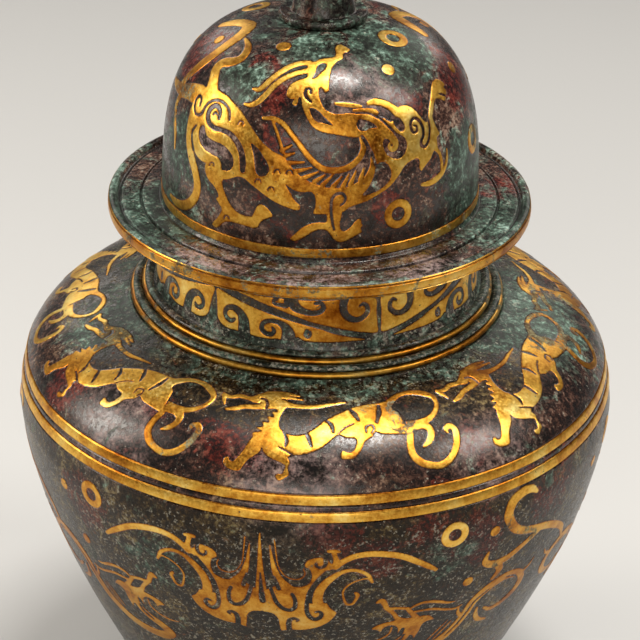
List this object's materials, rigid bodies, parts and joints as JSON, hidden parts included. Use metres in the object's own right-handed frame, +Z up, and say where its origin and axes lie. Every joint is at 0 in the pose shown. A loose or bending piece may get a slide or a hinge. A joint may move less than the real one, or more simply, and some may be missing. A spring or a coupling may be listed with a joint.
{
  "type": "ginger jar",
  "caption": "Lidded baluster ginger jar in dark patinated bronze with gold-inlaid dragons, running tigers and scroll panels; the domed lid lifts off by its bud finial.",
  "frame": {"origin": "centre of the foot ring on the ground", "axes": "+Z up along the jar's axis, -Y towards the viewer, +X to the picture's right"},
  "size_m": [0.2072, 0.206, 0.3314],
  "materials": {
    "bronze": "cast bronze, dark brown patina with red and green patches, waxed",
    "gold": "inlaid gold sheet and wire, worn satin"
  },
  "bodies": {
    "jar": {"belly_cloud_1": "gold", "belly_cloud_2": "gold", "belly_cloud_3": "gold", "belly_dragon_1_left": "gold", "belly_dragon_1_right": "gold", "belly_dragon_2_left": "gold", "belly_dragon_2_right": "gold", "belly_dragon_3_left": "gold", "belly_dragon_3_right": "gold", "belly_palmette_1": "gold", "belly_palmette_2": "gold", "belly_palmette_3": "gold", "belly_ring_1_1": "gold", "belly_ring_1_2": "gold", "belly_ring_2_1": "gold", "belly_ring_2_2": "gold", "belly_ring_3_1": "gold", "belly_ring_3_2": "gold", "belt_band_lower": "gold", "belt_band_upper": "gold", "jar_body": "bronze", "neck_panel_1_foot": "gold", "neck_panel_1_top": "gold", "neck_panel_2_foot": "gold", "neck_panel_2_top": "gold", "neck_panel_3_foot": "gold", "neck_panel_3_top": "gold", "neck_panel_4_foot": "gold", "neck_panel_4_top": "gold", "neck_panel_5_foot": "gold", "neck_panel_5_top": "gold", "neck_panel_6_foot": "gold", "neck_panel_6_top": "gold", "neck_wire_lower": "gold", "neck_wire_upper": "gold", "shoulder_tiger_1": "gold", "shoulder_tiger_2": "gold", "shoulder_tiger_3": "gold", "shoulder_tiger_4": "gold", "shoulder_tiger_5": "gold", "shoulder_tiger_6": "gold", "shoulder_tiger_7": "gold"},
    "lid": {"brim_edge_band": "gold", "dome_dragon_1": "gold", "dome_dragon_2": "gold", "dome_foot_band": "gold", "dome_ring_1_1": "gold", "dome_ring_1_2": "gold", "dome_ring_1_3": "gold", "dome_ring_2_1": "gold", "dome_ring_2_2": "gold", "dome_ring_2_3": "gold", "finial": "bronze", "lid": "bronze"}
  },
  "joints": [
    {"name": "lid_lift", "type": "slide", "parent": "jar", "child": "lid", "axis": [0, 0, 1], "range_m": [0, 0.12]}
  ]
}
